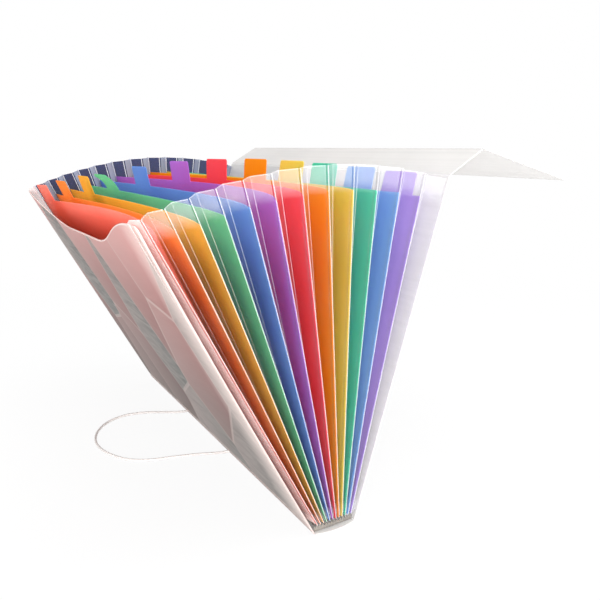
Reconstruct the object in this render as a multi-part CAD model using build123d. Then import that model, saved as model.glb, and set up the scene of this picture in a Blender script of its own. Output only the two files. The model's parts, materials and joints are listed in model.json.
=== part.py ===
"""An expanding file: a fan of see-through pockets between two covers, standing open on its base."""
import math
import os

from build123d import *

# The whole file, in millimetres and degrees: X from front to back, Y across the pockets, Z up
file_width = 330.0
cover_height = 235.0
base_width = 31.0
cover_sheet = 0.8
pocket_count = 13
front_lean_angle = 27.5
front_pocket_angle = 0.5
first_opening_angle = 2.7
full_opening_angle = 4.0
ramp_pockets = 5
overrun = 1.0

# Scored folds, where the sheet is pressed thin so that it bends like a hinge
fold_web = 0.25
fold_gap = 0.3
score_reach = 0.9

# Front cover, with a scooped top edge, two cord notches at the fold and a printed skin outside
front_shortfall = 6.0
corner_round = 3.0
scoop_depth = 24.0
scoop_shoulder = 13.0
scoop_ramp = 115.0
skin_film = 0.12
skin_foot = 9.0
skin_margin = 1.0

# Flap at the top of the back cover: a narrow strip that spans the closed stack, then the closing panel
strip_ease = 1.2
strip_lean_angle = 60.0
panel_length = 89.0
panel_lean_angle = 104.6
panel_round = 2.0

# Coloured dividers with one index tab each, stepped from the far end to the near end
divider_sheet = 0.4
divider_foot = 6.3
divider_round = 1.5
tab_width = 34.0
tab_height = 15.0
tab_round = 2.0
tab_drop = 2.1
tab_end_margin = 3.5

# Clear gussets: welded fins along the divider edges, and pleats between them
fin_reach = 4.0
fin_sheet = 0.6
gusset_rise = 14.6
pleat_film = 0.2
pleat_gap = 0.15
pleat_start = 0.6
pleat_dip_top = 4.0
pleat_dip_foot = 0.6

# Pleated floor film under the dividers, and the low end films between it and the base
floor_film_height = 0.35
floor_peak_gap = 0.3
floor_dip = 1.7
floor_end_gap = 0.3
end_film_gap = 0.15

# Elastic closing loop, which lies on the table in front of the file
cord_diameter = 2.0
cord_rest_gap = 0.05
notch_clearance = 0.5
notch_height = 5.0
crimp_diameter = 2.7
crimp_length = 5.0
crimp_gap = 0.1
crimp_inset = 6.0

# The loop's route from one crimp to the other, as (distance in front of the crimp, place across the file)
loop_route = [
    (0.0, 57.0), (9.0, 57.0), (19.0, 61.0), (31.0, 69.0), (45.0, 76.5), (60.0, 79.3), (76.0, 74.5),
    (89.5, 60.5), (97.0, 40.0), (95.0, 18.0), (84.5, -4.0), (70.0, -15.5), (51.0, -20.6), (33.0, -26.3),
    (18.0, -33.0), (9.0, -36.0), (0.0, -36.0),
]

# Places that follow from the sizes above
fold_height = cover_sheet / 2
pocket_pitch = base_width / pocket_count
divider_width = file_width - 2 * fin_reach
pleat_line = file_width / 2 - fin_reach / 2
divider_height = cover_height + fold_height - divider_foot - tab_height - tab_drop
gusset_height = divider_height + gusset_rise
strip_length = base_width + cover_sheet + strip_ease
first_tab_place = divider_width / 2 - divider_round - tab_end_margin - tab_width / 2
tab_pitch = 2 * first_tab_place / (pocket_count - 2)
floor_peak = divider_foot - floor_peak_gap
floor_reach = base_width / 2 - cover_sheet / 2 - floor_end_gap
notch_places = (loop_route[0][1], loop_route[-1][1])


def opening(pocket):
    """Angle at which a pocket stands open: the first is almost shut, and the next ones open more and more."""
    if pocket == 1:
        return front_pocket_angle
    ramp = min(pocket - 2, ramp_pockets) / ramp_pockets
    return first_opening_angle + (full_opening_angle - first_opening_angle) * ramp


leans = [-front_lean_angle]
for pocket in range(1, pocket_count + 1):
    leans.append(leans[-1] + opening(pocket))
last_leaf = pocket_count


def leaf_plane(foot_x, foot_z, lean):
    """Plane of a sheet that stands on a fold: local X across the file, local Y up the sheet."""
    turn = math.radians(lean)
    return Plane(origin=(foot_x, 0, foot_z), x_dir=(0, 1, 0), z_dir=(math.cos(turn), 0, -math.sin(turn)))


def leaf_foot(leaf):
    """Fold line of a leaf: leaf 0 is the front cover, the last leaf is the back cover."""
    height = fold_height if leaf in (0, last_leaf) else divider_foot
    return -base_width / 2 + leaf * pocket_pitch, height


def leaf_point(leaf, up, outward):
    """X and Z of a point that lies so far up a leaf, and so far off its middle plane."""
    foot_x, foot_z = leaf_foot(leaf)
    turn = math.radians(leans[leaf])
    x = foot_x + up * math.sin(turn) + outward * math.cos(turn)
    z = foot_z + up * math.cos(turn) - outward * math.sin(turn)
    return x, z


def sheet(plane, outline, thickness):
    """A flat sheet of even thickness, centred on its plane."""
    return extrude(plane * outline, amount=thickness / 2, both=True)


def band(low, high, width):
    """Outline of a plain band across the file, from one height to another."""
    return Pos(0, (low + high) / 2) * Rectangle(width, high - low)


def score(plane, low, high):
    """Thin web that is left between a fold line and the full sheet."""
    return sheet(plane, band(low, high, file_width), fold_web)


def save(node, shape):
    """Write one sub-part to its own file."""
    shape.label = node
    export_step(shape, os.path.join("parts", node + ".step"))


def scooped_outline(foot, top, margin):
    """Cover outline with round top corners and a scooped top edge, drawn in from the sides by a margin."""
    half = file_width / 2 - margin
    dip = top - scoop_depth
    shoulder = half - scoop_shoulder
    ramp_foot = shoulder - scoop_ramp
    ramp_middle = (shoulder + ramp_foot) / 2
    right_ramp = Bezier((shoulder, top), (ramp_middle, top), (ramp_middle, dip), (ramp_foot, dip))
    left_ramp = Bezier((-ramp_foot, dip), (-ramp_middle, dip), (-ramp_middle, top), (-shoulder, top))
    corner = top - corner_round
    edges = [
        Line((-half, foot), (half, foot)),
        Line((half, foot), (half, corner)),
        RadiusArc((half, corner), (half - corner_round, top), -corner_round),
        Line((half - corner_round, top), (shoulder, top)),
        right_ramp,
        Line((ramp_foot, dip), (-ramp_foot, dip)),
        left_ramp,
        Line((-shoulder, top), (corner_round - half, top)),
        RadiusArc((corner_round - half, top), (-half, corner), -corner_round),
        Line((-half, corner), (-half, foot)),
    ]
    return make_face(Curve() + edges)


def make_base():
    """Bottom panel that the file stands on, scored along both long edges."""
    flat = Plane(origin=(0, 0, fold_height), x_dir=(0, 1, 0), z_dir=(0, 0, 1))
    full = base_width - 2 * score_reach
    webbed = base_width - 2 * fold_gap
    panel = sheet(flat, Rectangle(file_width, full), cover_sheet)
    return panel + sheet(flat, Rectangle(file_width, webbed), fold_web)


def make_floor():
    """Pleated film that closes the pockets below: a peak under each divider, a valley in each pocket."""
    ridge = []
    for step in range(2 * pocket_count + 1):
        x = -base_width / 2 + step * pocket_pitch / 2
        z = floor_peak if step % 2 == 0 else floor_peak - floor_dip
        ridge.append((max(-floor_reach, min(floor_reach, x)), z))
    under = [(x, z - floor_film_height) for x, z in reversed(ridge)]
    end = Plane(origin=(0, 0, 0), x_dir=(1, 0, 0), z_dir=(0, -1, 0))
    outline = make_face(Polyline(*ridge, *under, close=True))
    return extrude(end * outline, amount=divider_width / 2, both=True)


def make_end_films():
    """Low clear films that close both ends between the base and the pleats."""
    low, high = cover_sheet + end_film_gap, floor_peak
    end = Plane(origin=(0, 0, 0), x_dir=(1, 0, 0), z_dir=(0, -1, 0))
    wall = Pos(0, (low + high) / 2) * Rectangle(2 * floor_reach, high - low)
    return Compound(children=[sheet(end.offset(side * pleat_line), wall, pleat_film) for side in (-1, 1)])


def make_front_cover():
    """Stiff front sheet with a scooped top edge and two notches at the fold for the elastic loop."""
    plane = leaf_plane(*leaf_foot(0), leans[0])
    cover = sheet(plane, scooped_outline(score_reach, cover_height - front_shortfall, 0), cover_sheet)
    cover += score(plane, fold_gap, score_reach)
    notch_width = cord_diameter + 2 * notch_clearance
    for place in notch_places:
        notch = Pos(place, notch_height / 2 - overrun / 2) * Rectangle(notch_width, notch_height + overrun)
        cover -= sheet(plane, notch, cover_sheet + 2 * overrun)
    return cover


def make_front_skin():
    """Printed glossy film laminated to the outside of the front cover."""
    plane = leaf_plane(*leaf_foot(0), leans[0]).offset(-(cover_sheet + skin_film) / 2)
    top = cover_height - front_shortfall - skin_margin
    return sheet(plane, scooped_outline(skin_foot, top, skin_margin), skin_film)


def make_back_cover():
    """Stiff back sheet, scored at the base and at the top, where the flap begins."""
    plane = leaf_plane(*leaf_foot(last_leaf), leans[last_leaf])
    cover = sheet(plane, band(score_reach, cover_height - score_reach, file_width), cover_sheet)
    cover += score(plane, fold_gap, score_reach)
    cover += score(plane, cover_height - score_reach, cover_height - fold_gap)
    return cover


def make_flap_strip():
    """Scored strip of the flap, as wide as the closed stack is thick."""
    plane = leaf_plane(*leaf_point(last_leaf, cover_height, 0), strip_lean_angle)
    strip = sheet(plane, band(score_reach, strip_length - score_reach, file_width), cover_sheet)
    strip += score(plane, fold_gap, score_reach)
    strip += score(plane, strip_length - score_reach, strip_length - fold_gap)
    return strip


def make_flap_panel():
    """Closing panel of the flap, with round corners at its free edge."""
    hinge_x, hinge_z = leaf_point(last_leaf, cover_height, 0)
    turn = math.radians(strip_lean_angle)
    crease_x = hinge_x + strip_length * math.sin(turn)
    crease_z = hinge_z + strip_length * math.cos(turn)
    plane = leaf_plane(crease_x, crease_z, panel_lean_angle)
    outline = band(score_reach, panel_length, file_width)
    outline = fillet(outline.vertices().group_by(Axis.Y)[-1], panel_round)
    return sheet(plane, outline, cover_sheet) + score(plane, fold_gap, score_reach)


def make_divider(leaf):
    """Coloured divider with round top corners and its index tab."""
    place = first_tab_place - (leaf - 1) * tab_pitch
    body = band(0, divider_height, divider_width)
    body = fillet(body.vertices().group_by(Axis.Y)[-1], divider_round)
    tab = Pos(place, 0) * band(divider_height - overrun, divider_height + tab_height, tab_width)
    tab = fillet(tab.vertices().group_by(Axis.Y)[-1], tab_round)
    return sheet(leaf_plane(*leaf_foot(leaf), leans[leaf]), body + tab, divider_sheet)


def make_fins(leaf):
    """Welded gusset edges along both sides of a divider: film and divider pressed into one thin fin."""
    plane = leaf_plane(*leaf_foot(leaf), leans[leaf])
    middle = (divider_width + fin_reach) / 2
    fin = Rectangle(fin_reach, gusset_height)
    fins = [sheet(plane, Pos(side * middle, gusset_height / 2) * fin, fin_sheet) for side in (-1, 1)]
    return Compound(children=fins)


def make_pleat(pocket, side):
    """Gusset film across one end of a pocket, from leaf to leaf, dipping in at its middle crease."""
    wires = []
    for share, dip in ((0, pleat_dip_foot), (1, pleat_dip_top)):
        corners = []
        for leaf, facing in ((pocket - 1, 1), (pocket, -1)):
            cover = leaf in (0, last_leaf)
            stand_off = (cover_sheet if cover else fin_sheet) / 2 + pleat_gap
            pocket_foot = divider_foot - fold_height if cover else 0
            up = pocket_foot + pleat_start + share * (gusset_height - pleat_start)
            corners.append(leaf_point(leaf, up, facing * stand_off))
        (front_x, front_z), (back_x, back_z) = corners
        middle_x, middle_z = (front_x + back_x) / 2, (front_z + back_z) / 2
        edge, crease = side * pleat_line, side * (pleat_line - dip)
        inner = side * pleat_film
        wires.append(Wire.make_polygon([
            (front_x, edge, front_z), (middle_x, crease, middle_z), (back_x, edge, back_z),
            (back_x, edge - inner, back_z), (middle_x, crease - inner, middle_z), (front_x, edge - inner, front_z),
        ]))
    return Solid.make_loft(wires, ruled=True)


def loop_plane():
    """Plane of the elastic loop: on the table at its far bend, and as high as the crimps at its ends."""
    reach = max(out for out, _ in loop_route)
    start_height = cover_sheet + crimp_gap + crimp_diameter / 2
    rise = math.asin((start_height - cord_diameter / 2 - cord_rest_gap) / reach)
    start_x = crimp_inset - base_width / 2
    toward_front = (-math.cos(rise), 0, -math.sin(rise))
    upward = (-math.sin(rise), 0, math.cos(rise))
    return Plane(origin=(start_x, 0, start_height), x_dir=toward_front, z_dir=upward)


def loop_points():
    """The route in the loop's own plane, whose second axis runs against Y."""
    return [Vector(out, -across) for out, across in loop_route]


def corner_radii(points):
    """Largest even bends: each arc takes a little under half of the shorter run beside it."""
    radii = []
    for before, corner, after in zip(points, points[1:], points[2:]):
        arrive, leave = corner - before, after - corner
        half_turn = math.radians(arrive.get_angle(leave)) / 2
        bend_share = 0.45
        radii.append(bend_share * min(arrive.length, leave.length) / math.tan(half_turn))
    return radii


def make_elastic_loop():
    """Round elastic cord, from one crimp out over the table and back to the other."""
    points = loop_points()
    radii = corner_radii(points)
    plane = loop_plane()
    path = plane * FilletPolyline(*points, radius=radii)
    start = Plane(origin=path @ 0, z_dir=path % 0)
    tube = sweep(start * Circle(cord_diameter / 2), path=path)
    section = math.pi * cord_diameter ** 2 / 4
    print("elastic loop: length", round(path.length, 1), "least bend radius", round(min(radii), 1))
    print("elastic loop: volume over section times length", round(tube.volume / (section * path.length), 4))
    return tube


def make_crimps():
    """Crimped sleeves that hold both ends of the elastic loop inside the base."""
    plane = loop_plane()
    sleeves = []
    for place in notch_places:
        end = plane * Plane(origin=(0, -place, 0), z_dir=(-1, 0, 0))
        sleeves.append(extrude(end * Circle(crimp_diameter / 2), amount=crimp_length))
    return Compound(children=sleeves)


os.makedirs("parts", exist_ok=True)
save("base_panel", make_base())
save("pocket_floor", make_floor())
save("end_films", make_end_films())
save("front_cover", make_front_cover())
save("front_print_skin", make_front_skin())
save("back_cover", make_back_cover())
save("flap_strip", make_flap_strip())
save("flap_panel", make_flap_panel())
for leaf in range(1, last_leaf):
    save(f"divider_{leaf}", make_divider(leaf))
    save(f"divider_{leaf}_fins", make_fins(leaf))
for pocket in range(1, pocket_count + 1):
    save(f"near_pleat_{pocket}", make_pleat(pocket, -1))
    save(f"far_pleat_{pocket}", make_pleat(pocket, 1))
save("elastic_loop", make_elastic_loop())
save("elastic_crimps", make_crimps())
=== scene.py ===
"""Looks of an expanding file that stands open like a fan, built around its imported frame."""

import json
import math

import bmesh
import bpy
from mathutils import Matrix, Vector


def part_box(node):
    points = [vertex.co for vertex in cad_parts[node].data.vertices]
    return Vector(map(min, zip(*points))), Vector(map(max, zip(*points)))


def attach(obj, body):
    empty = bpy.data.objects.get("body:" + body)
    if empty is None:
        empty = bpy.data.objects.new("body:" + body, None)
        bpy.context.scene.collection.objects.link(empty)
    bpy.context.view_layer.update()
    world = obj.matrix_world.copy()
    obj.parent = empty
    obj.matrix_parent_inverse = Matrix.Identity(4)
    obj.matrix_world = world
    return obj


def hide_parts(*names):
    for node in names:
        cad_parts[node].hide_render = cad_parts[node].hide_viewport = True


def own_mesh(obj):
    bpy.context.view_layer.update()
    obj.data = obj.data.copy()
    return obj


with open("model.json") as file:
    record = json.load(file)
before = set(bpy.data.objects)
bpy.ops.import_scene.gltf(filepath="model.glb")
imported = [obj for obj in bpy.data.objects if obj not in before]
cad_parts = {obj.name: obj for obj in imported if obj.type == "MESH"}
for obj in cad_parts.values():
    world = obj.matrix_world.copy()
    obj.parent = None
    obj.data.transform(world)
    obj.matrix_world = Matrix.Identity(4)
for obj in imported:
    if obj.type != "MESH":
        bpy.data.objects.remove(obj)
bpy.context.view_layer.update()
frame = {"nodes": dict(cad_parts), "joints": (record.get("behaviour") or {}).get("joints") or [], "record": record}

# Base: the bottom panel of one long polypropylene sheet, on which the file stands.
# Both covers fold up from its long sides, where the sheet is pressed thin along a score line.
# Its short ends bow out a little, because the gussets draw the corners in.
mm = 0.001
base_low, base_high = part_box("base_panel")
file_half = base_high.y
cover_sheet = base_high.z - base_low.z
score_web = 0.25 * mm
score_width = 0.6 * mm
score_ease = 0.3 * mm
base_edge = base_high.x
base_score = base_edge - score_width
base_end_bow = 2.5 * mm
noise_span = (0.3, 0.7)
streak_share = 0.4
grain_scale, grain_depth = 900, 0.2 * mm
sharp_rim = math.radians(40)
cover_glow = 0.3


def srgb(code):
    """Linear colour of a six-figure screen colour."""
    shares = [int(code[place:place + 2], 16) / 255 for place in (0, 2, 4)]
    return tuple(c / 12.92 if c <= 0.04045 else ((c + 0.055) / 1.055) ** 2.4 for c in shares) + (1,)


def add_node(tree, kind, inputs=None, **settings):
    """New node with its settings, and with its inputs set to values or linked to other nodes' sockets."""
    made = tree.nodes.new(kind)
    for name, value in settings.items():
        setattr(made, name, value)
    for socket, value in (inputs or {}).items():
        if isinstance(value, bpy.types.NodeSocket):
            tree.links.new(value, made.inputs[socket])
        else:
            made.inputs[socket].default_value = value
    return made


def ranged(tree, value, span, low, high):
    """Socket that runs from low to high as a value runs over a span, and stays level beyond it."""
    inputs = {"Value": value, "From Min": span[0], "From Max": span[1], "To Min": low, "To Max": high}
    return add_node(tree, "ShaderNodeMapRange", inputs).outputs["Result"]


def spread(tree, share, low, high):
    """Socket that runs from low to high as a noise share runs over its usual span."""
    return ranged(tree, share, noise_span, low, high)


def blended(tree, share, first, second):
    """Socket with a colour between two others, from the first to the second."""
    return add_node(tree, "ShaderNodeMix", {0: share, 6: first, 7: second}, data_type="RGBA").outputs[2]


def blank_material(name):
    """New material with only a plastic shader in it, and the tree and shader to build on."""
    material = bpy.data.materials.new(name)
    material.use_nodes = True
    return material, material.node_tree, material.node_tree.nodes["Principled BSDF"]


def sheet_plastic(name, light, deep, roughness, alpha=(1, 1), grain=0.15, cloud_scale=14, drawn=(260, 5, 1)):
    """Extruded plastic sheet: cloudy colour, faint drawn streaks along its map, and a fine pressed grain."""
    material, tree, shader = blank_material(name)
    place = add_node(tree, "ShaderNodeTexCoord").outputs["Object"]
    cloud = add_node(tree, "ShaderNodeTexNoise", {"Vector": place, "Scale": cloud_scale, "Detail": 3})
    on_sheet = add_node(tree, "ShaderNodeUVMap", uv_map="sheet").outputs[0]
    drawn_out = add_node(tree, "ShaderNodeMapping", {"Vector": on_sheet, "Scale": drawn})
    streak = add_node(tree, "ShaderNodeTexNoise", {"Vector": drawn_out.outputs[0], "Scale": 1, "Detail": 2})
    mottle = add_node(tree, "ShaderNodeMix", {0: streak_share, 2: cloud.outputs[0], 3: streak.outputs[0]})
    colour = blended(tree, spread(tree, mottle.outputs[0], 0, 1), deep, light)
    tree.links.new(colour, shader.inputs["Base Color"])
    tree.links.new(spread(tree, streak.outputs[0], *roughness), shader.inputs["Roughness"])
    if alpha != (1, 1):
        tree.links.new(spread(tree, mottle.outputs[0], *alpha), shader.inputs["Alpha"])
    pressed = add_node(tree, "ShaderNodeTexNoise", {"Vector": place, "Scale": grain_scale, "Detail": 1})
    bump = add_node(tree, "ShaderNodeBump", {
        "Height": pressed.outputs[0], "Strength": grain, "Distance": grain_depth})
    tree.links.new(bump.outputs[0], shader.inputs["Normal"])
    return material


def let_light_through(material, share):
    """Let a share of the light that falls on a sheet's one face glow out of its other face."""
    tree = material.node_tree
    shader = tree.nodes["Principled BSDF"]
    sheet_colour = shader.inputs["Base Color"].links[0].from_socket
    half_way = add_node(tree, "ShaderNodeGamma", {0: sheet_colour, 1: 0.5}).outputs[0]
    through = add_node(tree, "ShaderNodeBsdfTranslucent", {"Color": half_way})
    lit = add_node(tree, "ShaderNodeMixShader", {0: share, 1: shader.outputs[0], 2: through.outputs[0]})
    tree.links.new(lit.outputs[0], tree.nodes["Material Output"].inputs["Surface"])


def sheet_piece(name, rows, material):
    """Closed thin sheet with two skins and a rim, from rows of (middle point, normal, thickness, place).
    Where a row holds None, the sheet is cut away."""
    columns = len(rows[0])
    points = [entry for row in rows for entry in row]
    count = len(points)
    quads = []
    for row in range(len(rows) - 1):
        for column in range(columns - 1):
            corner = row * columns + column
            quad = (corner, corner + 1, corner + columns + 1, corner + columns)
            if all(points[index] for index in quad):
                quads.append(quad)
    edges = {(quad[side], quad[(side + 1) % 4]) for quad in quads for side in range(4)}
    rim = [(here, there) for here, there in edges if (there, here) not in edges]
    faces = quads + [tuple(index + count for index in reversed(quad)) for quad in quads]
    faces += [(there, here, here + count, there + count) for here, there in rim]
    blank = (Vector(), Vector(), 0, (0, 0))
    points = [entry or blank for entry in points]
    skins = [[p + n * (side * t / 2) for p, n, t, _ in points] for side in (1, -1)]
    mesh = bpy.data.meshes.new(name)
    mesh.from_pydata(skins[0] + skins[1], [], faces)
    layer = mesh.uv_layers.new(name="sheet")
    for loop in mesh.loops:
        layer.data[loop.index].uv = points[loop.vertex_index % count][3]
    shaped = bmesh.new()
    shaped.from_mesh(mesh)
    loose = [point for point in shaped.verts if not point.link_faces]
    bmesh.ops.delete(shaped, geom=loose, context="VERTS")
    bmesh.ops.recalc_face_normals(shaped, faces=shaped.faces)
    shaped.to_mesh(mesh)
    shaped.free()
    mesh.shade_smooth()
    mesh.set_sharp_from_angle(angle=sharp_rim)
    mesh.materials.append(material)
    made = bpy.data.objects.new(name, mesh)
    bpy.context.scene.collection.objects.link(made)
    return made


def even(low, high, steps):
    """Evenly spaced values from low to high."""
    return [low + (high - low) * step / steps for step in range(steps + 1)]


frosted_cover = sheet_plastic("frosted_cover", srgb("E8E6E4"), srgb("DCDAD8"), (0.32, 0.5),
                              alpha=(0.76, 0.82), drawn=(2, 320, 1))
let_light_through(frosted_cover, cover_glow)
base_middle = even(-base_score + score_ease, base_score - score_ease, 12)
base_columns = [-base_edge, -base_score] + base_middle + [base_score, base_edge]
base_rows = []
for share in even(-1, 1, 60):
    row = []
    for x in base_columns:
        end = file_half + base_end_bow * (1 - (x / base_edge) ** 2)
        thickness = score_web if abs(x) >= base_score else cover_sheet
        point = Vector((x, share * end, cover_sheet / 2))
        row.append((point, Vector((0, 0, 1)), thickness, (share * end, x)))
    base_rows.append(row)
base_board = sheet_piece("base_board", base_rows, frosted_cover)
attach(base_board, "base")
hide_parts("base_panel")

# Elastic closing loop: a limp round cord of white knitted elastic, pulled out of notches at the front fold.
# It lies on the table in front of the file, and slips over the flap when the file is closed.
# Inside the base, each of its ends is held in a crimped steel sleeve.
cord_diameter = 2 * mm
cord_start = Vector((-9.5 * mm, 0, 2.25 * mm))
cord_far_height = 1.05 * mm
loop_route = [
    (0, 57), (9, 57), (19, 61), (31, 69), (45, 76.5), (60, 79.3), (76, 74.5), (89.5, 60.5), (97, 40),
    (95, 18), (84.5, -4), (70, -15.5), (51, -20.6), (33, -26.3), (18, -33), (9, -36), (0, -36),
]
stitch_scale, stitch_depth = 1400, 0.1 * mm
scratch_scale = (80, 2400, 2400)


def knitted_elastic():
    """White elastic yarn: small soft stitches that show as bumps, with painted shade in the grey hollows between
    them.
    """
    material, tree, shader = blank_material("knitted_elastic")
    place = add_node(tree, "ShaderNodeTexCoord").outputs["Object"]
    knit = add_node(tree, "ShaderNodeTexVoronoi", {"Vector": place, "Scale": stitch_scale})
    stitch = knit.outputs["Distance"]
    bump = add_node(tree, "ShaderNodeBump", {"Height": stitch, "Strength": 0.2, "Distance": stitch_depth})
    # Painted shade: the stitch hollows turn grey-brown.
    tree.links.new(blended(tree, stitch, srgb("F2EFED"), srgb("C6BEBA")), shader.inputs["Base Color"])
    tree.links.new(bump.outputs[0], shader.inputs["Normal"])
    shader.inputs["Roughness"].default_value = 0.8
    shader.inputs["Sheen Weight"].default_value = 0.3
    return material


cord_curve = bpy.data.curves.new("elastic_cord", "CURVE")
cord_curve.dimensions = "3D"
cord_curve.bevel_depth = cord_diameter / 2
cord_curve.bevel_resolution = 4
cord_curve.resolution_u = 12
cord_curve.use_fill_caps = True
cord_line = cord_curve.splines.new("NURBS")
cord_line.points.add(len(loop_route) - 1)
reach = max(out for out, _ in loop_route) * mm
tilt = math.asin((cord_start.z - cord_far_height) / reach)
for point, (out, across) in zip(cord_line.points, loop_route):
    x = cord_start.x - out * mm * math.cos(tilt)
    z = cord_start.z - out * mm * math.sin(tilt)
    point.co = (x, across * mm, z, 1)
cord_line.order_u = 3
cord_line.use_endpoint_u = True
cord_curve.materials.append(knitted_elastic())
elastic_cord = bpy.data.objects.new("elastic_cord", cord_curve)
bpy.context.scene.collection.objects.link(elastic_cord)
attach(elastic_cord, "base")
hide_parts("elastic_loop")


def crimped_steel():
    """Bright rolled steel with fine scratches along the sleeve."""
    material, tree, shader = blank_material("crimped_steel")
    place = add_node(tree, "ShaderNodeTexCoord").outputs["Object"]
    rolled = add_node(tree, "ShaderNodeMapping", {"Vector": place, "Scale": scratch_scale}).outputs[0]
    scratch = add_node(tree, "ShaderNodeTexNoise", {"Vector": rolled, "Scale": 1, "Detail": 3}).outputs[0]
    tree.links.new(blended(tree, scratch, srgb("9A9CA0"), srgb("D0D2D6")), shader.inputs["Base Color"])
    tree.links.new(spread(tree, scratch, 0.25, 0.45), shader.inputs["Roughness"])
    shader.inputs["Metallic"].default_value = 1
    return material


crimps = frame["nodes"]["elastic_crimps"]
crimps.data.materials.clear()
crimps.data.materials.append(crimped_steel())

# Pocket floor: a clear film folded like a fan under the dividers, so that nothing falls through the pockets.
# It is welded to the dividers' feet, and a low film closes each end between it and the base.
# The film is a half-clear grey, darkened as painted shade at the foot of the file, and bulges out at the ends.
pocket_count = 13
floor_low, floor_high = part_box("pocket_floor")
floor_film = 0.35 * mm
floor_dip = 1.7 * mm
end_low, end_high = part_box("end_films")
end_film = 0.2 * mm
end_bulge = 1.2 * mm
film_roughness = (0.1, 0.22)


def clear_film(name, tint, shade, alpha):
    """Glossy see-through film: a thin veil of tint that varies with the film's stretch marks."""
    material = sheet_plastic(name, tint, shade, film_roughness, alpha=alpha, grain=0.04, cloud_scale=30)
    material.node_tree.nodes["Principled BSDF"].inputs["Specular IOR Level"].default_value = 0.12
    return material


def ridge_height(step):
    """Height of the folded floor: a peak under every divider, a valley in every pocket."""
    peak = floor_high.z - floor_film / 2
    return peak if step % 2 == 0 else peak - floor_dip


def ridge_rows():
    """The folded floor from front to back, one row for each fold."""
    rows = []
    for step, x in enumerate(even(floor_low.x, floor_high.x, 2 * pocket_count)):
        row = []
        for y in even(floor_low.y, floor_high.y, 12):
            row.append((Vector((x, y, ridge_height(step))), Vector((0, 0, 1)), floor_film, (y, x)))
        rows.append(row)
    return rows


def end_rows(side):
    """Low film at one end, from the base up to the folded floor, bulging out between them."""
    rows = []
    low, line = end_low.z, end_high.y - end_film / 2
    for share in even(0, 1, 6):
        row = []
        for step, x in enumerate(even(end_low.x, end_high.x, 2 * pocket_count)):
            high = ridge_height(step) - floor_film
            out = end_bulge * math.sin(math.pi * share) * (1 - (x / end_high.x) ** 2)
            point = Vector((x, side * (line + out), low + share * (high - low)))
            row.append((point, Vector((0, side, 0)), end_film, (x, point.z)))
        rows.append(row)
    return rows


# Painted shade: the grey tint darkens these clear films where the foot of the file lies in shade.
floor_clear = clear_film("floor_clear", srgb("9A948C"), srgb("847E78"), (0.6, 0.75))
floor_piece = sheet_piece("pocket_floor_film", ridge_rows(), floor_clear)
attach(floor_piece, "base")
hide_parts("pocket_floor")
near_end = sheet_piece("near_end_film", end_rows(-1), floor_clear)
far_end = sheet_piece("far_end_film", end_rows(1), floor_clear)
for piece in (near_end, far_end):
    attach(piece, "base")
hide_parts("end_films")

# Front cover: a stiff sheet with a wide finger scoop in its top edge, and two cord notches at its fold.
# It is scored thin along the fold. Toward the top its near end is drawn in a little and its far end bulges.
# The thin dividers behind it are held only by the gussets, so they lean back on each other in the middle.
joints = {joint["name"]: joint for joint in frame["joints"]}
closing_angle = joints["front_cover_fold"]["range_deg"][1]
fold_ratios = {link["joint"]: link["ratio"] for link in frame["record"]["behaviour"]["couplings"]}
leaf_names = ["front_cover"] + [f"divider_{leaf}" for leaf in range(1, pocket_count)] + ["back_cover"]
leaf_feet = [Vector(joints[f"{name}_fold"]["pos_m"]) for name in leaf_names]
leaf_leans = [-math.radians(fold_ratios.get(f"{name}_fold", 1) * closing_angle) for name in leaf_names]
leaf_bows = [0, 16, 8, 5, 4, 8, 17, 18, 20, 18, 12, 7, 3, 0]
bow_power, bow_skew = 1.5, 0.6
near_pull = 3 * mm
far_bulge = 4 * mm
wave_power, bulge_skew = 3, 3.5
cover_height = 235 * mm
front_top = 229 * mm
front_corner = 3 * mm
scoop_depth = 24 * mm
scoop_shoulder = 13 * mm
scoop_ramp = 115 * mm
score_start, score_end, score_full = 0.3 * mm, 0.9 * mm, 1.3 * mm
score_shares = [0, 0.3, 0.6]
sheet_steps = 20
divider_half = 161 * mm
notch_height = 5 * mm
notch_half = 1.5 * mm
hair = 0.02 * mm
backing_glow = 0.5


def leaf_axes(leaf):
    """Directions up a leaf and off its face toward the back."""
    lean = leaf_leans[leaf]
    return Vector((math.sin(lean), 0, math.cos(lean))), Vector((math.cos(lean), 0, -math.sin(lean)))


def leaf_point(leaf, across, up, off=0):
    """Point of a leaf, so far across the file, up from its fold and off its face toward the back."""
    upward, outward = leaf_axes(leaf)
    rise = max(0, up / cover_height)
    along = min(1, max(0, 0.5 + across / (2 * divider_half)))
    if leaf == 0:
        wave = near_pull * (1 - along) - far_bulge * math.sin(math.pi * along ** bulge_skew)
        bow = rise ** wave_power * wave
    else:
        bow = leaf_bows[leaf] * mm * rise ** bow_power * math.sin(math.pi * along ** bow_skew)
    return leaf_feet[leaf] + upward * up + outward * (off + bow) + Vector((0, across, 0))


def rounded_drop(across, half, radius):
    """How far a round corner lies below a straight top edge, at a place near the side."""
    over = max(0, abs(across) - (half - radius))
    return radius - math.sqrt(max(0, radius ** 2 - over ** 2))


def corner_places(half, radius):
    """Places across a sheet that follow its two round corners."""
    turns = [half - radius + radius * math.sin(math.pi / 2 * step / 8) for step in range(9)]
    return turns + [-turn for turn in turns]


def in_order(places):
    """Places sorted, each only once."""
    return sorted({round(place, 7) for place in places})


def scooped_top(across, half, top):
    """Height of the scooped top edge at a place across the cover."""
    share = min(1, max(0, (half - scoop_shoulder - abs(across)) / scoop_ramp))
    dip = scoop_depth * (1 - math.cos(math.pi * share)) / 2
    return top - dip - rounded_drop(across, half, front_corner)


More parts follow.
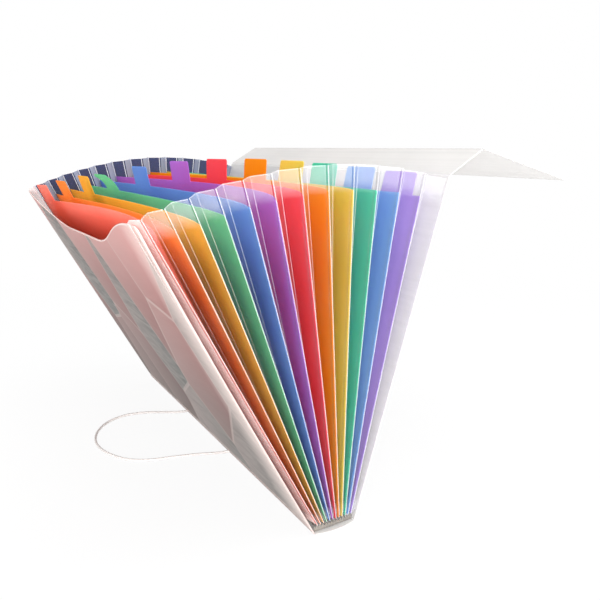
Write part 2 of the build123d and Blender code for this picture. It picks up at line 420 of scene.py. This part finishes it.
def cover_rows(half, foot, top, off, thickness, notched):
    """Rows of a scooped sheet on the front leaf, thin at the score and cut away at the cord notches."""
    notches = [across * mm for _, across in (loop_route[0], loop_route[-1])] if notched else []
    places = even(-half, half, 72) + corner_places(half, front_corner)
    for notch in notches:
        for side in (-1, 1):
            places += [notch + side * notch_half, notch + side * (notch_half + hair)]
    places = in_order(places)
    _, outward = leaf_axes(0)
    rows = []
    for share in score_shares + even(1, sheet_steps, sheet_steps - 1):
        row = []
        for across in places:
            cut = any(abs(across - notch) <= notch_half for notch in notches)
            low = notch_height if cut else foot
            high = scooped_top(across, half, top)
            if notched and share < 1:
                up = low + (score_end - score_start) * share / score_shares[-1]
            elif notched:
                full = low + score_full - score_start
                up = full + (high - full) * (share - 1) / (sheet_steps - 1)
            else:
                up = low + (high - low) * share / sheet_steps
            thin = notched and share < 1 and not cut
            point = leaf_point(0, across, up, off)
            row.append((point, outward, score_web if thin else thickness, (across, up)))
        rows.append(row)
    return rows


front_backing = sheet_plastic("front_backing", srgb("F2E6E2"), srgb("E0CFCA"), (0.3, 0.45), alpha=(0.9, 0.97))
let_light_through(front_backing, backing_glow)
front_rows = cover_rows(file_half, score_start, front_top, 0, cover_sheet, True)
front_sheet = sheet_piece("front_sheet", front_rows, front_backing)
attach(front_sheet, "front_cover")
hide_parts("front_cover")
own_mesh(front_sheet)

# Printed skin: a thin glossy film laminated to the outside of the front cover, printed on its inner face.
# The print is a dusty pink ground with cream facets, and with marbled silver ones in a belt and at the foot.
# Fine pale lines part the facets, each facet carries a painted sheen, the near edge carries a painted highlight,
# and a narrow margin of the cover shows round it.
skin_film = 0.12 * mm
skin_margin = 1 * mm
skin_foot = 9 * mm
print_height = 230 * mm
pattern_shift = (0.37, 0.11, 0)
pattern_turn = 0.6
pattern_squeeze = 0.6
facet_scale = 14
facet_chaos = 0.85
facet_line, line_share = 0.014, 0.6
belt_height, belt_half = 142 * mm, 32 * mm
foot_belt = 42 * mm
silver_chance, cream_chance = 0.3, 0.16
silver_metal = 0.55
marble_turn = 0.5
marble_scale = (25, 130, 1)
marble_swirl = 1.5
painted_sheen_reach, painted_sheen_share = 50 * mm, 0.4
painted_sheen_way = (0.5, 1, 0)
painted_highlight_start, painted_highlight_share = 128 * mm, 0.85
print_glow = 0.4


def math_of(tree, operation, first, second=0.0):
    """Socket with the result of one sum."""
    return add_node(tree, "ShaderNodeMath", {0: first, 1: second}, operation=operation).outputs[0]


def vector_math(tree, operation, first, second):
    """Outputs of a node that does one sum with two vectors."""
    return add_node(tree, "ShaderNodeVectorMath", {0: first, 1: second}, operation=operation).outputs


def facet_print():
    """Laminated print: silver-grey and cream facets on dusty pink, pale lines between, under a gloss coat, with
    painted sheen on the facets and a painted highlight along the near edge.
    """
    material, tree, shader = blank_material("facet_print")
    place = add_node(tree, "ShaderNodeUVMap", uv_map="sheet").outputs[0]
    apart = add_node(tree, "ShaderNodeSeparateXYZ", {0: place})
    across, height = apart.outputs[0], apart.outputs[1]
    # The ground runs from light pink at the top to dark grey-brown at the foot: print tone, with painted shade
    # toward the foot.
    ground = add_node(tree, "ShaderNodeValToRGB", {0: ranged(tree, height, (0, print_height), 0, 1)})
    ground.color_ramp.elements[0].color = srgb("74665F")
    ground.color_ramp.elements[1].color = srgb("E2ACA8")
    ground.color_ramp.elements.new(0.35).color = srgb("84605C")
    ground.color_ramp.elements.new(0.7).color = srgb("AE7672")
    slanted = add_node(tree, "ShaderNodeMapping", {
        "Vector": place, "Location": pattern_shift, "Rotation": (0, 0, pattern_turn),
        "Scale": (1, pattern_squeeze, 1)}).outputs[0]
    facets = {"Vector": slanted, "Scale": facet_scale, "Randomness": facet_chaos}
    cell = add_node(tree, "ShaderNodeTexVoronoi", facets, voronoi_dimensions="2D")
    edge = add_node(tree, "ShaderNodeTexVoronoi", facets, voronoi_dimensions="2D", feature="DISTANCE_TO_EDGE")
    chance = add_node(tree, "ShaderNodeSeparateColor", {0: cell.outputs["Color"]}).outputs[0]
    unshifted = vector_math(tree, "SUBTRACT", cell.outputs["Position"], pattern_shift)[0]
    facet_up = (-math.sin(pattern_turn) / pattern_squeeze, math.cos(pattern_turn) / pattern_squeeze, 0)
    facet_height = vector_math(tree, "DOT_PRODUCT", unshifted, facet_up)["Value"]
    from_belt = math_of(tree, "ABSOLUTE", math_of(tree, "SUBTRACT", facet_height, belt_height))
    in_belt = math_of(tree, "LESS_THAN", from_belt, belt_half)
    banded = math_of(tree, "MAXIMUM", in_belt, math_of(tree, "LESS_THAN", facet_height, foot_belt))
    chosen = math_of(tree, "GREATER_THAN", chance, silver_chance)
    silver = math_of(tree, "MULTIPLY", banded, chosen)
    cream = math_of(tree, "LESS_THAN", chance, cream_chance)
    marbled = add_node(tree, "ShaderNodeMapping", {
        "Vector": place, "Rotation": (0, 0, marble_turn), "Scale": marble_scale}).outputs[0]
    marble = add_node(tree, "ShaderNodeTexNoise", {
        "Vector": marbled, "Scale": 1, "Detail": 4, "Distortion": marble_swirl}).outputs[0]
    foil = blended(tree, spread(tree, marble, 0, 1), srgb("585854"), srgb("A6A59F"))
    with_cream = blended(tree, cream, ground.outputs[0], srgb("B49A90"))
    with_foil = blended(tree, silver, with_cream, foil)
    # Painted sheen: each facet turns paler toward one side, as if it caught the light.
    from_middle = vector_math(tree, "SUBTRACT", slanted, cell.outputs["Position"])[0]
    slope = vector_math(tree, "DOT_PRODUCT", from_middle, painted_sheen_way)["Value"]
    painted_sheen = ranged(tree, slope, (-painted_sheen_reach, painted_sheen_reach), 0, painted_sheen_share)
    with_painted_sheen = blended(tree, painted_sheen, with_foil, srgb("E6CCC6"))
    line = math_of(tree, "LESS_THAN", edge.outputs["Distance"], facet_line)
    inked = blended(tree, math_of(tree, "MULTIPLY", line, line_share), with_painted_sheen, srgb("DCCBC5"))
    # Painted highlight: the near edge turns pale cream, and the silver facets there lose their metal.
    painted_highlight = ranged(tree, across, (-painted_highlight_start, -file_half), 0, painted_highlight_share)
    tree.links.new(blended(tree, painted_highlight, inked, srgb("FFF2EC")), shader.inputs["Base Color"])
    unhighlighted = math_of(tree, "SUBTRACT", 1.0, painted_highlight)
    shine = math_of(tree, "MULTIPLY", math_of(tree, "MULTIPLY", silver, unhighlighted), silver_metal)
    tree.links.new(shine, shader.inputs["Metallic"])
    tree.links.new(spread(tree, marble, 0.3, 0.36), shader.inputs["Roughness"])
    shader.inputs["Specular IOR Level"].default_value = 0.1
    shader.inputs["Coat Weight"].default_value = 0.05
    shader.inputs["Coat Roughness"].default_value = 0.2
    let_light_through(material, print_glow)
    return material


skin_off = -(cover_sheet + skin_film) / 2
skin_half, skin_top = file_half - skin_margin, front_top - skin_margin
skin_rows = cover_rows(skin_half, skin_foot, skin_top, skin_off, skin_film, False)
front_print = sheet_piece("front_print", skin_rows, facet_print())
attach(front_print, "front_cover")
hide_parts("front_print_skin")
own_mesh(front_print)

# Dividers: twelve thin coloured polypropylene sheets in six colours, with round shoulders and one tab each.
# The tabs step from the far end of the first divider to the near end of the last, so that all can be read.
# Both sides are caught in the welds. The sheets are matt with fine drawn streaks, and one tab is bent.
divider_sheet = 0.4 * mm
divider_height = 212 * mm
divider_round = 1.5 * mm
divider_reach = 3.6 * mm
divider_side = divider_half + divider_reach
tab_half = 17 * mm
tab_height = 15 * mm
tab_round = 2 * mm
first_tab, last_tab = 139 * mm, -139 * mm
tab_curls = [0.5, 0.0, 0.8, -6.0, 0.4, 0.0, 0.6, 0.0, 0.3, 0.0, 0.4, 0.2]
divider_glow = 0.7
# Painted light: the two dividers of each colour get different tones, each lightened or darkened one by one to make
# up for the light and shade that fall on it.
divider_colours = [
    ("red", "FFA08E", "FF8E7E"), ("orange", "FFA24E", "FF9440"), ("yellow", "FFC44C", "FFB83E"),
    ("green", "76D69E", "68CA92"), ("blue", "78A4EA", "6A98E0"), ("purple", "C680E2", "BA74D8"),
    ("red", "FF5C68", "FF4E5C"), ("orange", "FFA614", "FF9A0C"), ("yellow", "FFE264", "FAD654"),
    ("green", "57DFBA", "4CD1AC"), ("blue", "91BDF3", "83AFEC"), ("purple", "C0A1E7", "B293DF"),
]


def divider_plastic(leaf):
    """Thin coloured sheet, matt with drawn streaks, through which light glows from the pockets behind."""
    colour, light, deep = divider_colours[leaf - 1]
    material = sheet_plastic(f"{colour}_divider_{leaf}", srgb(light), srgb(deep), (0.35, 0.5), grain=0.1)
    material.node_tree.nodes["Principled BSDF"].inputs["Specular IOR Level"].default_value = 0.25
    let_light_through(material, divider_glow)
    return material


def divider_rows(leaf):
    """Rows of one divider, whose top edge rises to its tab and falls off at its round shoulders."""
    tab = first_tab + (last_tab - first_tab) * (leaf - 1) / (pocket_count - 2)
    turns = [tab_half - tab_round + tab_round * math.sin(math.pi / 2 * step / 6) for step in range(7)]
    places = even(-divider_side, divider_side, 48) + corner_places(divider_side, divider_round)
    places += [tab + side * turn for side in (-1, 1) for turn in turns]
    places = in_order(places)
    _, outward = leaf_axes(leaf)
    rows = []
    for share in even(0, 1, 18):
        row = []
        for across in places:
            up = share * (divider_height - rounded_drop(across, divider_side, divider_round))
            row.append((leaf_point(leaf, across, up), outward, divider_sheet, (across, up)))
        rows.append(row)
    for share in even(0, 1, 8)[1:]:
        row = []
        for across in places:
            up = divider_height + share * (tab_height - rounded_drop(across - tab, tab_half, tab_round))
            curl = tab_curls[leaf - 1] * mm * share ** 2
            spot = (leaf_point(leaf, across, up, curl), outward, divider_sheet, (across, up))
            on_tab = abs(across - tab) <= tab_half + hair
            row.append(spot if on_tab else None)
        rows.append(row)
    return rows


for leaf in range(1, pocket_count):
    colour = divider_colours[leaf - 1][0]
    divider = sheet_piece(f"{colour}_divider_{leaf}", divider_rows(leaf), divider_plastic(leaf))
    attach(divider, f"divider_{leaf}")
    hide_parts(f"divider_{leaf}")
    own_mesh(divider)

# Welded fins: along both sides of each divider, gusset film and divider are pressed together by a hot bar.
# The bar leaves a thin clear fin with a row of fine ribs and a bead at its outer edge, painted whitish as a
# painted highlight along the fin.
# The fins stand higher than the dividers, because the gussets do.
fin_height = 226.6 * mm
fin_reach = 4 * mm
fin_sheet = 0.5 * mm
fin_bead = 0.35 * mm
rib_pitch = 2.2 * mm
rib_proud = 0.04 * mm
rib_width_share, rib_height_share = 0.6, 0.5


def tree_with(name, sockets):
    """Empty geometry tree with named inputs and one geometry output, and its two ends to build between."""
    tree = bpy.data.node_groups.new(name, "GeometryNodeTree")
    for socket, kind in sockets.items():
        tree.interface.new_socket(name=socket, in_out="INPUT", socket_type=f"NodeSocket{kind}")
    tree.interface.new_socket(name="Geometry", in_out="OUTPUT", socket_type="NodeSocketGeometry")
    return tree, add_node(tree, "NodeGroupInput").outputs, add_node(tree, "NodeGroupOutput").inputs


def vector_of(tree, x=0.0, y=0.0, z=0.0):
    """Socket with a vector made of three numbers or sockets."""
    return add_node(tree, "ShaderNodeCombineXYZ", {0: x, 1: y, 2: z}).outputs[0]


def block(tree, x, y, z):
    """Socket with a block of three sizes, its middle at the origin."""
    return add_node(tree, "GeometryNodeMeshCube", {"Size": vector_of(tree, x, y, z)}).outputs[0]


def joined(tree, *parts):
    """Socket with several geometries in one."""
    join = add_node(tree, "GeometryNodeJoinGeometry")
    for part in parts:
        tree.links.new(part, join.inputs[0])
    return join.outputs[0]


def moved(tree, geometry, translation, rotation=None):
    """Socket with a geometry turned and then moved."""
    inputs = {"Geometry": geometry, "Translation": translation}
    if rotation is not None:
        inputs["Rotation"] = rotation
    return add_node(tree, "GeometryNodeTransform", inputs).outputs[0]


def realized(tree, geometry):
    """Socket with a geometry whose instances are made plain mesh."""
    return add_node(tree, "GeometryNodeRealizeInstances", {0: geometry}).outputs[0]


def coated(tree, geometry, material, where=True):
    """Socket with a geometry that has a material, all over or where a share says so."""
    inputs = {"Geometry": geometry, "Selection": where, "Material": material}
    return add_node(tree, "GeometryNodeSetMaterial", inputs).outputs[0]


def fin_tree():
    """Two ribbed fins, one at each side of a divider, standing on its fold line."""
    tree, given, result = tree_with("welded_fins", {
        "Foot": "Vector", "Lean": "Float", "Height": "Float", "Reach": "Float", "Sheet": "Float",
        "Bead": "Float", "Middle": "Float", "Rib Pitch": "Float", "Rib Proud": "Float",
        "Near Material": "Material", "Far Material": "Material", "Bead Material": "Material",
    })
    half_height = math_of(tree, "MULTIPLY", given["Height"], 0.5)
    half_pitch = math_of(tree, "MULTIPLY", given["Rib Pitch"], 0.5)
    strip = block(tree, given["Sheet"], given["Reach"], given["Height"])
    both_proud = math_of(tree, "MULTIPLY", given["Rib Proud"], 2.0)
    rib = block(tree, math_of(tree, "ADD", both_proud, given["Sheet"]),
                math_of(tree, "MULTIPLY", given["Reach"], rib_width_share),
                math_of(tree, "MULTIPLY", given["Rib Pitch"], rib_height_share))
    rib_count = math_of(tree, "FLOOR", math_of(tree, "DIVIDE", given["Height"], given["Rib Pitch"]))
    rib_line = add_node(tree, "GeometryNodeMeshLine", {
        "Count": rib_count, "Start Location": vector_of(tree, z=half_pitch),
        "Offset": vector_of(tree, z=given["Rib Pitch"])}).outputs[0]
    ribs = add_node(tree, "GeometryNodeInstanceOnPoints", {"Points": rib_line, "Instance": rib}).outputs[0]
    ribbed = joined(tree, moved(tree, strip, vector_of(tree, z=half_height)), realized(tree, ribs))
    clear_strip = coated(tree, ribbed, given["Near Material"])
    bead_sheet = math_of(tree, "ADD", given["Sheet"], given["Rib Proud"])
    bead = block(tree, bead_sheet, given["Bead"], given["Height"])
    highlit_bead = coated(tree, bead, given["Bead Material"])
    bead_place = math_of(tree, "MULTIPLY", math_of(tree, "SUBTRACT", given["Reach"], given["Bead"]), 0.5)
    sides = []
    for side in (-1.0, 1.0):
        outer = vector_of(tree, y=math_of(tree, "MULTIPLY", bead_place, side), z=half_height)
        fin = joined(tree, clear_strip, moved(tree, highlit_bead, outer))
        sides.append(moved(tree, fin, vector_of(tree, y=math_of(tree, "MULTIPLY", given["Middle"], side))))
    standing = moved(tree, joined(tree, *sides), given["Foot"], vector_of(tree, y=given["Lean"]))
    point = add_node(tree, "GeometryNodeInputPosition").outputs[0]
    place = add_node(tree, "ShaderNodeSeparateXYZ", {0: point})
    at_far_end = math_of(tree, "GREATER_THAN", place.outputs[1], 0.0)
    on_strip = add_node(tree, "GeometryNodeMaterialSelection", {"Material": given["Near Material"]})
    far_strip = math_of(tree, "MULTIPLY", at_far_end, on_strip.outputs[0])
    finished = coated(tree, realized(tree, standing), given["Far Material"], far_strip)
    tree.links.new(finished, result[0])
    return tree


def grown(name, tree, **values):
    """Object with the plain mesh that a geometry tree makes from the given values."""
    made = bpy.data.objects.new(name, bpy.data.meshes.new(name))
    bpy.context.scene.collection.objects.link(made)
    growth = made.modifiers.new("growth", "NODES")
    growth.node_group = tree
    for socket in tree.interface.items_tree:
        key = socket.name.lower().replace(" ", "_")
        if socket.in_out == "INPUT" and key in values:
            growth[socket.identifier] = values[key]
    mesh = bpy.data.meshes.new_from_object(made.evaluated_get(bpy.context.evaluated_depsgraph_get()))
    made.modifiers.remove(growth)
    made.data = mesh
    mesh.name = name
    return made


weld_clear = clear_film("weld_clear", srgb("FFFFFF"), srgb("F0F0F4"), (0.01, 0.03))
# Painted light: the fin strips at the far end are milky white, where the same welds at the near end are clear.
weld_milky = clear_film("weld_milky", srgb("F4F5FA"), srgb("D8DCE8"), (0.5, 0.65))
# Painted highlight: the beads are white to stand in for the light caught along each fin edge.
weld_white = sheet_plastic("weld_white", srgb("FFFFFF"), srgb("F6F6F8"), (0.2, 0.35), alpha=(0.2, 0.3),
                           cloud_scale=60)
welded_fins = fin_tree()
for leaf in range(1, pocket_count):
    fins = grown(f"welded_fins_{leaf}", welded_fins, foot=leaf_feet[leaf], lean=leaf_leans[leaf],
                 height=fin_height, reach=fin_reach, sheet=fin_sheet, bead=fin_bead,
                 middle=divider_half + fin_reach / 2, rib_pitch=rib_pitch, rib_proud=rib_proud,
                 near_material=weld_clear, far_material=weld_milky, bead_material=weld_white)
    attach(fins, f"divider_{leaf}")
    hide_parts(f"divider_{leaf}_fins")

# Gussets: one pleat of clear film closes each end of each pocket, welded to the leaves at both of its edges.
# A crease down its middle points into the pocket, deepest at the foot, and lets the file close flat.
# The film is glossy and nearly clear, with painted highlights along its crease and hem. The far ones carry a
# painted dark tint, darkest at the top.
gusset_height = fin_height
pleat_start = 0.6 * mm
pleat_film = 0.2 * mm
pleat_gap = 0.15 * mm
pleat_line = 163 * mm
pleat_dip_foot, pleat_dip_top = 9 * mm, 7.5 * mm
pleat_sharp = math.radians(25)
weld_merge = 0.001 * mm
crease_half = 0.016
hem_height = 0.6 * mm
near_top_veil = (210 * mm, 218 * mm, 0.1)
# The far film's painted dark band at the top and painted lighter grey on the back part of each pleat stand in for
# reflections and shade.
far_painted_dark_band = (185 * mm, 208 * mm, 0.75)
far_painted_light_share = 0.4
foot_veil_span, foot_veil_alpha = (3 * mm, 9 * mm), 0.3
slant_power, slant_alpha = 5.0, 0.08
crease_highlight_white = srgb("FDFDFE")
painted_light_grey = srgb("A2A8BC")


def pleat_tree():
    """One pleat: a film between two leaves that dips in at its middle crease."""
    tree, given, result = tree_with("gusset_pleat", {
        "Front Foot": "Vector", "Front Top": "Vector", "Back Foot": "Vector", "Back Top": "Vector",
        "Height": "Float", "Line": "Float", "Foot Dip": "Float", "Top Dip": "Float", "Film": "Float",
        "Material": "Material",
    })
    flat = add_node(tree, "GeometryNodeMeshGrid", {
        "Size X": 1.0, "Size Y": 1.0, "Vertices X": 13, "Vertices Y": 25}).outputs[0]
    point = add_node(tree, "GeometryNodeInputPosition").outputs[0]
    place = add_node(tree, "ShaderNodeSeparateXYZ", {0: point})
    through = math_of(tree, "ADD", place.outputs[0], 0.5)
    up = math_of(tree, "ADD", place.outputs[1], 0.5)
    edges = []
    for leaf in ("Front", "Back"):
        ends = {0: up, 4: given[f"{leaf} Foot"], 5: given[f"{leaf} Top"]}
        edges.append(add_node(tree, "ShaderNodeMix", ends, data_type="VECTOR").outputs[1])
    ends = {0: through, 4: edges[0], 5: edges[1]}
    between = add_node(tree, "ShaderNodeMix", ends, data_type="VECTOR").outputs[1]
    from_crease = math_of(tree, "ABSOLUTE", math_of(tree, "MULTIPLY", place.outputs[0], 2.0))
    toward_crease = math_of(tree, "SUBTRACT", 1.0, from_crease)
    depth = add_node(tree, "ShaderNodeMix", {0: up, 2: given["Foot Dip"], 3: given["Top Dip"]}).outputs[0]
    dip = math_of(tree, "MULTIPLY", toward_crease, depth)
    sideways = vector_of(tree, y=math_of(tree, "SUBTRACT", given["Line"], dip))
    spot = vector_math(tree, "ADD", between, sideways)[0]
    on_sheet = vector_of(tree, through, math_of(tree, "MULTIPLY", up, given["Height"]))
    mapped = add_node(tree, "GeometryNodeStoreNamedAttribute", {
        "Geometry": flat, "Name": "sheet", "Value": on_sheet}, data_type="FLOAT2", domain="CORNER").outputs[0]
    shaped = add_node(tree, "GeometryNodeSetPosition", {"Geometry": mapped, "Position": spot}).outputs[0]
    over = add_node(tree, "GeometryNodeExtrudeMesh", {
        "Mesh": shaped, "Offset Scale": given["Film"], "Individual": False}).outputs[0]
    under = add_node(tree, "GeometryNodeFlipFaces", {0: shaped}).outputs[0]
    closed = add_node(tree, "GeometryNodeMergeByDistance", {
        "Geometry": joined(tree, over, under), "Distance": weld_merge}).outputs[0]
    tree.links.new(coated(tree, realized(tree, closed), given["Material"]), result[0])
    return tree


def pleat_end(leaf, facing, share):
    """Point where a pleat's edge meets a leaf, at its foot or its top, on the file's middle plane."""
    cover = leaf in (0, pocket_count)
    stand_off = (cover_sheet if cover else fin_sheet + 2 * rib_proud) / 2 + pleat_gap
    pocket_foot = leaf_feet[1].z - leaf_feet[0].z if cover else 0
    upward, outward = leaf_axes(leaf)
    height = pocket_foot + pleat_start + share * (gusset_height - pleat_start)
    return leaf_feet[leaf] + upward * height + outward * facing * stand_off


def pleated_film(name, tint, shade, alpha, line_alpha, top_veil_span=near_top_veil, painted_light_share=0.0):
    """Clear film with painted highlights at its crease and hem and painted grey on a share of each pleat; its tint
    thickens toward its ends and where seen aslant, part haze and part painted light.
    """
    material = clear_film(name, tint, shade, alpha)
    tree = material.node_tree
    shader = tree.nodes["Principled BSDF"]
    on_sheet = add_node(tree, "ShaderNodeUVMap", uv_map="sheet").outputs[0]
    apart = add_node(tree, "ShaderNodeSeparateXYZ", {0: on_sheet})
    through, height = apart.outputs[0], apart.outputs[1]
    from_crease = math_of(tree, "ABSOLUTE", math_of(tree, "SUBTRACT", through, 0.5))
    # Painted highlight: the crease and hem lines turn white and less clear.
    crease = math_of(tree, "LESS_THAN", from_crease, crease_half)
    hem = math_of(tree, "GREATER_THAN", height, gusset_height - hem_height)
    pressed = math_of(tree, "MAXIMUM", crease, hem)
    # Painted light: where a share is given, the part of each pleat next to the back leaf turns a paler grey.
    welded = math_of(tree, "GREATER_THAN", through, 1 - painted_light_share)
    # Part haze, part painted light: the film's tint thickens near its top and foot and where seen aslant, a
    # whitish veil on the near film.
    veil_start, veil_full, veil_alpha = top_veil_span
    top_veil = ranged(tree, height, (veil_start, veil_full), 0, veil_alpha)
    foot_veil = ranged(tree, height, foot_veil_span, foot_veil_alpha, 0)
    aslant = add_node(tree, "ShaderNodeLayerWeight", {"Blend": 0.5}).outputs["Facing"]
    slant_veil = math_of(tree, "MULTIPLY", math_of(tree, "POWER", aslant, slant_power), slant_alpha)
    clear = shader.inputs["Alpha"].links[0].from_socket
    end_veil = math_of(tree, "ADD", top_veil, foot_veil)
    veil = math_of(tree, "ADD", math_of(tree, "ADD", clear, end_veil), slant_veil)
    film = shader.inputs["Base Color"].links[0].from_socket
    with_painted_light = blended(tree, welded, film, painted_light_grey)
    tree.links.new(blended(tree, pressed, with_painted_light, crease_highlight_white), shader.inputs["Base Color"])
    thickened = add_node(tree, "ShaderNodeMix", {0: pressed, 2: veil, 3: line_alpha}).outputs[0]
    tree.links.new(thickened, shader.inputs["Alpha"])
    return material


near_film = pleated_film("near_gusset_film", srgb("FAFAFC"), srgb("E6E6EC"), (0.0, 0.01), 0.2)
folded_film = pleated_film("folded_gusset_film", srgb("FFF0EE"), srgb("FFE4E0"), (0.22, 0.32), 0.35)
# Painted reflection and shade: the far film is tinted navy, as the dark surroundings and the file's own shade show
# through it.
far_film = pleated_film("far_gusset_film", srgb("343E70"), srgb("222B56"), (0.02, 0.06), 0.2,
                        far_painted_dark_band, far_painted_light_share)
gusset_pleat = pleat_tree()
for pocket in range(1, pocket_count + 1):
    for end, side, open_film in (("near", -1, near_film), ("far", 1, far_film)):
        film = folded_film if pocket == 1 else open_film
        pleat = grown(f"{end}_gusset_{pocket}", gusset_pleat,
                      front_foot=pleat_end(pocket - 1, 1, 0), front_top=pleat_end(pocket - 1, 1, 1),
                      back_foot=pleat_end(pocket, -1, 0), back_top=pleat_end(pocket, -1, 1),
                      height=gusset_height, line=side * pleat_line, foot_dip=side * pleat_dip_foot,
                      top_dip=side * pleat_dip_top, film=pleat_film, material=film)
        pleat.data.shade_smooth()
        pleat.data.set_sharp_from_angle(angle=pleat_sharp)
        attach(pleat, leaf_names[pocket])
        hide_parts(f"{end}_pleat_{pocket}")
        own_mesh(pleat)

# Back cover: the same frosted sheet as the base, scored at its foot and at its top, where the flap begins.
# It is plain, a little milky, and shows faint drawn streaks from the extruder.
back_leaf = pocket_count


def scored_ups(length, both_ends):
    """Distances up a scored panel, with the score lines at one or both of its ends."""
    last = length - score_full if both_ends else length
    ups = [score_start, score_end] + even(score_full, last, 16)
    return ups + ([length - score_end, length - score_start] if both_ends else [])


def panel_rows(foot, upward, length, both_ends, corner, sag):
    """Rows of a flat scored panel that hangs on a fold line, with its free corners rounded."""
    outward = Vector((upward.z, 0, -upward.x))
    places = in_order(even(-file_half, file_half, 48) + (corner_places(file_half, corner) if corner else []))
    rows = []
    for up in scored_ups(length, both_ends):
        thin = up <= score_end or (both_ends and up >= length - score_end)
        row = []
        for across in places:
            drop = rounded_drop(across, file_half, corner) if corner else 0
            along = up if drop == 0 else up * (length - drop) / length
            hang = sag * math.sin(math.pi * up / length) * math.cos(math.pi * across / (2 * file_half))
            point = foot + upward * along + outward * hang + Vector((0, across, 0))
            row.append((point, outward, score_web if thin else cover_sheet, (across, along)))
        rows.append(row)
    return rows


back_upward, _ = leaf_axes(back_leaf)
back_rows = panel_rows(leaf_feet[back_leaf], back_upward, cover_height, True, 0, 0)
back_sheet = sheet_piece("back_sheet", back_rows, frosted_cover)
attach(back_sheet, "back_cover")
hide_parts("back_cover")

# Flap: a strip as wide as the closed file is thick, and a panel that folds down over the front.
# Both are plain frosted sheet that goes on from the back cover, with a pressed crease between them.
# The panel's free corners are rounded. Held up by its folds alone, the flap sags a little.
strip_fold = Vector(joints["flap_strip_fold"]["pos_m"])
panel_fold = Vector(joints["flap_panel_fold"]["pos_m"])
strip_sag, panel_sag = 0.4 * mm, -0.6 * mm
panel_length = 89 * mm
panel_lean = math.radians(104.6)
panel_corner = 2 * mm
strip_span = panel_fold - strip_fold
strip_rows = panel_rows(strip_fold, strip_span.normalized(), strip_span.length, True, 0, strip_sag)
strip_sheet = sheet_piece("flap_strip_sheet", strip_rows, frosted_cover)
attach(strip_sheet, "flap_strip")
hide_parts("flap_strip")
panel_upward = Vector((math.sin(panel_lean), 0, math.cos(panel_lean)))
flap_rows = panel_rows(panel_fold, panel_upward, panel_length, False, panel_corner, panel_sag)
flap_sheet = sheet_piece("flap_panel_sheet", flap_rows, frosted_cover)
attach(flap_sheet, "flap_panel")
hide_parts("flap_panel")

# Studio: a plain white floor that keeps a soft shadow, even white surroundings, and three wide soft lamps.
# The camera stands in front of the near end, a little above the file, as the photograph was taken.
floor_half = 6.0
floor_drop = 0.1 * mm
floor_fade_span, floor_fade_start = (0.2, 0.9), 0.92
sky_level, white_level = 0.7, 1.0
lamp_width, lamp_height = 0.9, 0.7
lamp_aim = Vector((0, 0, 0.1))
studio_lamps = [
    ("front_lamp", (-0.62, -1.1, 0.1), 16),
    ("fill_lamp", (-0.25, -1.25, 0.15), 12),
    ("overhead_lamp", (0.15, -0.3, 1.2), 8),
]
camera_place = (-0.2054, -0.4656, 0.2426)
camera_dip, camera_turn = math.radians(13.74), math.radians(30.76)
camera_lens, camera_sensor = 37.59, 36


def seen_directly(tree):
    """Socket that is one for rays that show the background: to the camera, or by gloss or glass."""
    path = add_node(tree, "ShaderNodeLightPath").outputs
    shown = math_of(tree, "MAXIMUM", path["Is Camera Ray"], path["Is Glossy Ray"])
    return math_of(tree, "MAXIMUM", shown, path["Is Transmission Ray"])


def studio_floor():
    """White floor that shows a light shadow near the file and fades to plain white farther out."""
    material, tree, shader = blank_material("studio_floor")
    place = add_node(tree, "ShaderNodeTexCoord").outputs["Object"]
    distance = add_node(tree, "ShaderNodeVectorMath", {0: place}, operation="LENGTH").outputs["Value"]
    fade = ranged(tree, distance, floor_fade_span, floor_fade_start, 1)
    fog = add_node(tree, "ShaderNodeTexNoise", {"Vector": place, "Scale": 3}).outputs[0]
    tree.links.new(blended(tree, fog, srgb("F6F6F6"), srgb("FAFAFA")), shader.inputs["Base Color"])
    shader.inputs["Roughness"].default_value = 0.9
    shader.inputs["Specular IOR Level"].default_value = 0
    white = add_node(tree, "ShaderNodeEmission", {"Color": (1, 1, 1, 1), "Strength": white_level})
    share = math_of(tree, "MULTIPLY", seen_directly(tree), fade)
    blend = add_node(tree, "ShaderNodeMixShader", {0: share, 1: shader.outputs[0], 2: white.outputs[0]})
    tree.links.new(blend.outputs[0], tree.nodes["Material Output"].inputs["Surface"])
    return material


floor_mesh = bpy.data.meshes.new("studio_floor")
floor_sides = ((-1, -1), (1, -1), (1, 1), (-1, 1))
floor_corners = [(x * floor_half, y * floor_half, -floor_drop) for x, y in floor_sides]
floor_mesh.from_pydata(floor_corners, [], [(0, 1, 2, 3)])
floor_mesh.materials.append(studio_floor())
floor = bpy.data.objects.new("studio_floor", floor_mesh)
bpy.context.scene.collection.objects.link(floor)

world = bpy.data.worlds.new("studio")
bpy.context.scene.world = world
world.use_nodes = True
sky = world.node_tree
level = ranged(sky, seen_directly(sky), (0, 1), sky_level, white_level)
sky.links.new(level, sky.nodes["Background"].inputs["Strength"])
sky.nodes["Background"].inputs["Color"].default_value = (1, 1, 1, 1)

for name, place, energy in studio_lamps:
    lamp_data = bpy.data.lights.new(name, "AREA")
    lamp_data.shape = "RECTANGLE"
    lamp_data.size, lamp_data.size_y = lamp_width, lamp_height
    lamp_data.energy = energy
    lamp = bpy.data.objects.new(name, lamp_data)
    lamp.location = place
    lamp.rotation_euler = (lamp_aim - lamp.location).to_track_quat("-Z", "Y").to_euler()
    bpy.context.scene.collection.objects.link(lamp)

camera_data = bpy.data.cameras.new("camera")
camera_data.sensor_width = camera_sensor
camera_data.lens = camera_lens
camera = bpy.data.objects.new("camera", camera_data)
camera.location = camera_place
camera.rotation_euler = (math.pi / 2 - camera_dip, 0, -camera_turn)
bpy.context.scene.collection.objects.link(camera)
bpy.context.scene.camera = camera
bpy.context.scene.view_settings.view_transform = "Standard"
